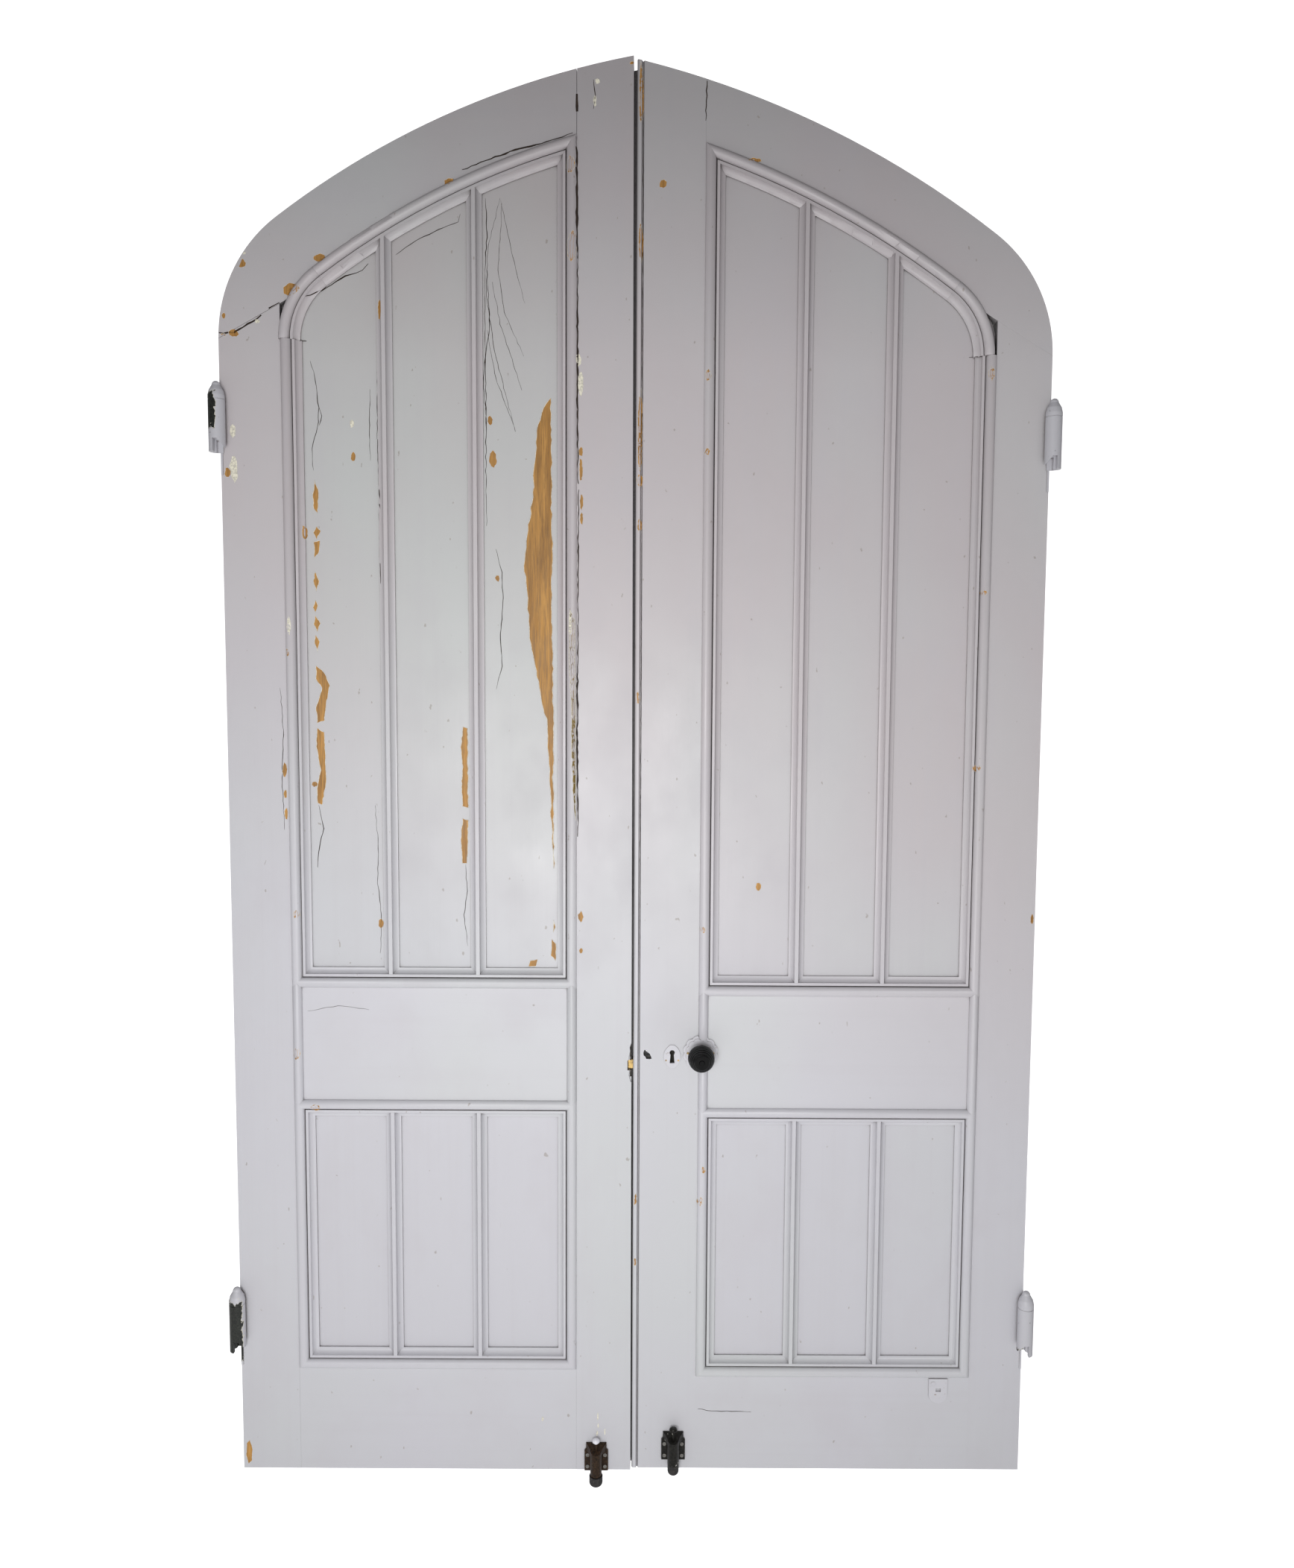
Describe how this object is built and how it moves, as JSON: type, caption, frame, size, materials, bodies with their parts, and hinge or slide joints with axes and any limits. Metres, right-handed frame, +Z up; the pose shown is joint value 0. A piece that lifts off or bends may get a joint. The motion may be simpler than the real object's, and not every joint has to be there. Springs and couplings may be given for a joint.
{
  "type": "arched double door",
  "caption": "Pair of arched panelled door leaves with planted mouldings, lift-off hinge halves, a mortice lock with beehive knobs, and foot bolts; worn grey paint.",
  "frame": {"origin": "under the middle of the meeting line, at half the thickness of the leaves, at the level of the lowest point of the left foot bolt's shoe", "axes": "+X across the pair from the left leaf to the right leaf, -Y out of the front with the mouldings and hinge knuckles, +Z up"},
  "size_m": [1.45, 0.173, 2.5041],
  "materials": {
    "grey_paint": "pale grey gloss paint on softwood, worn and chipped",
    "hinge_iron": "black iron with remains of grey paint",
    "steel": "dull steel",
    "brass": "aged brass",
    "painted_brass": "brass painted over in grey",
    "ebony": "black polished turned wood",
    "bolt_bronze": "brown patinated casting",
    "bolt_iron": "dark rough casting",
    "white_head": "white paint",
    "rubber": "black rubber"
  },
  "bodies": {
    "left_leaf": {"left_hinge_stile": "grey_paint", "left_meeting_stile": "grey_paint", "left_arched_head": "grey_paint", "left_lock_rail": "grey_paint", "left_bottom_rail": "grey_paint", "left_upper_muntins": "grey_paint", "left_lower_muntins": "grey_paint", "left_upper_panels": "grey_paint", "left_lower_panels": "grey_paint", "left_upper_moulding": "grey_paint", "left_lock_beads": "grey_paint", "left_lower_moulding": "grey_paint", "left_upper_hinge": "hinge_iron", "left_lower_hinge": "hinge_iron", "left_hinge_screws": "steel", "left_foot_bolt_case": "bolt_bronze", "left_foot_bolt_screws": "steel", "strike_plate": "steel", "strike_screws": "steel"},
    "left_foot_bolt": {"left_foot_bolt_rod": "bolt_bronze", "left_foot_bolt_head": "white_head", "left_foot_bolt_shoe": "rubber"},
    "right_leaf": {"right_hinge_stile": "grey_paint", "right_meeting_stile": "grey_paint", "right_arched_head": "grey_paint", "right_lock_rail": "grey_paint", "right_bottom_rail": "grey_paint", "right_upper_muntins": "grey_paint", "right_lower_muntins": "grey_paint", "right_upper_panels": "grey_paint", "right_lower_panels": "grey_paint", "right_upper_moulding": "grey_paint", "right_lock_beads": "grey_paint", "right_lower_moulding": "grey_paint", "right_upper_hinge": "hinge_iron", "right_lower_hinge": "hinge_iron", "right_hinge_screws": "steel", "lock_case": "steel", "lock_forend": "brass", "latch_spring": "steel", "lock_screws": "brass", "front_rose": "painted_brass", "rear_rose": "painted_brass", "front_escutcheon": "painted_brass", "rear_escutcheon": "painted_brass", "furniture_pins": "brass", "right_foot_bolt_case": "bolt_iron", "right_foot_bolt_screws": "steel", "painted_plate": "painted_brass", "painted_plate_screw": "painted_brass"},
    "right_foot_bolt": {"right_foot_bolt_rod": "bolt_iron", "right_foot_bolt_head": "bolt_iron", "right_foot_bolt_shoe": "rubber"},
    "knobs": {"lock_follower": "steel", "knob_spindle": "steel", "front_knob": "ebony", "rear_knob": "ebony", "knob_necks": "brass"},
    "latch": {"latch_bolt": "brass"},
    "dead_bolt_body": {"dead_bolt": "brass"}
  },
  "joints": [
    {"name": "right_leaf_swing", "type": "hinge", "parent": "left_leaf", "child": "right_leaf", "pos_m": [0.711, -0.0365, 1], "axis": [0, 0, 1], "range_deg": [0, 100]},
    {"name": "knob_turn", "type": "hinge", "parent": "right_leaf", "child": "knobs", "pos_m": [0.121, -0.009, 0.803], "axis": [0, -1, 0], "range_deg": [0, 20], "stiffness_Nm_per_rad": 0.6, "springref_deg": -20.05},
    {"name": "latch_slide", "type": "slide", "parent": "right_leaf", "child": "latch", "axis": [1, 0, 0], "range_m": [0, 0.0095]},
    {"name": "dead_bolt_slide", "type": "slide", "parent": "right_leaf", "child": "dead_bolt_body", "axis": [-1, 0, 0], "range_m": [0, 0.014]},
    {"name": "left_foot_bolt_slide", "type": "slide", "parent": "left_leaf", "child": "left_foot_bolt", "axis": [0, 0, -1], "range_m": [0, 0.0105]},
    {"name": "right_foot_bolt_slide", "type": "slide", "parent": "right_leaf", "child": "right_foot_bolt", "axis": [0, 0, -1], "range_m": [0, 0.0105]}
  ],
  "couplings": [
    {"joint": "latch_slide", "follows": "knob_turn", "m_per_rad": 0.027}
  ]
}
